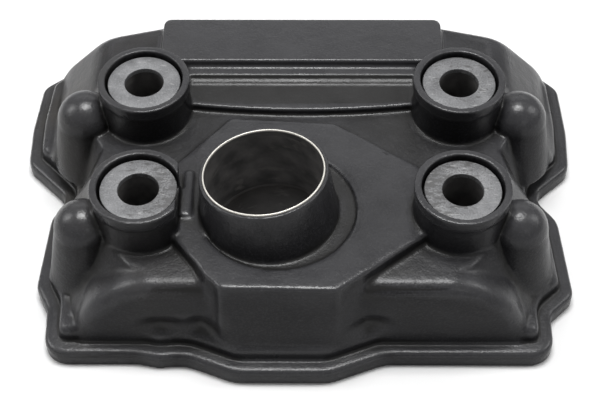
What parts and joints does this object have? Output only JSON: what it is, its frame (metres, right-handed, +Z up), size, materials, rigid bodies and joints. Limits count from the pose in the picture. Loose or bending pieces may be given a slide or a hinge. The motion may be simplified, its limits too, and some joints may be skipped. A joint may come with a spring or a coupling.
{
  "type": "cylinder head cover",
  "caption": "Cast cylinder head cover of a small twin-cam engine, with a leaning plug tube, bolt bosses with bare washers, cam-end domes and a gasketed flange.",
  "frame": {"origin": "middle of the footprint, on the flange face that meets the cylinder head", "axes": "+X along the camshafts to the right, +Y to the back of the cover, +Z up out of the engine"},
  "size_m": [0.1648, 0.1146, 0.0467],
  "materials": {
    "casting_paint": "satin charcoal-black paint on a thin-walled light-alloy casting",
    "turned_steel": "turned rim, bare and bright; bore dulled brown by heat and oil",
    "seal_rubber": "black nitrile rubber, matt",
    "gasket_rubber": "moulded black rubber, matt",
    "bush_rubber": "black rubber, matt",
    "washer_steel": "pale zinc-grey, grained, scuffed by the bolt collars",
    "baffle_steel": "zinc-plated sheet, oily",
    "bracket_steel": "plated pressed steel",
    "guide_rubber": "dark brown-black chain guide rubber, worn",
    "screw_steel": "zinc-plated cross-recess screws",
    "bolt_steel": "yellow-passivated hexagon bolts"
  },
  "bodies": {
    "root": {"baffle_screw_1": "screw_steel", "baffle_screw_2": "screw_steel", "baffle_screw_3": "screw_steel", "baffle_screw_4": "screw_steel", "chain_guide_bracket": "bracket_steel", "chain_guide_pad": "guide_rubber", "cover_casting": "casting_paint", "cover_gasket": "gasket_rubber", "guide_bolt_back": "bolt_steel", "guide_bolt_front": "bolt_steel", "mount_bush_back_left": "bush_rubber", "mount_bush_back_right": "bush_rubber", "mount_bush_front_left": "bush_rubber", "mount_bush_front_right": "bush_rubber", "oil_baffle": "baffle_steel", "plug_tube_seal": "seal_rubber", "plug_tube_sleeve": "turned_steel", "seat_washer_back_left": "washer_steel", "seat_washer_back_right": "washer_steel", "seat_washer_front_left": "washer_steel", "seat_washer_front_right": "washer_steel"}
  },
  "joints": []
}
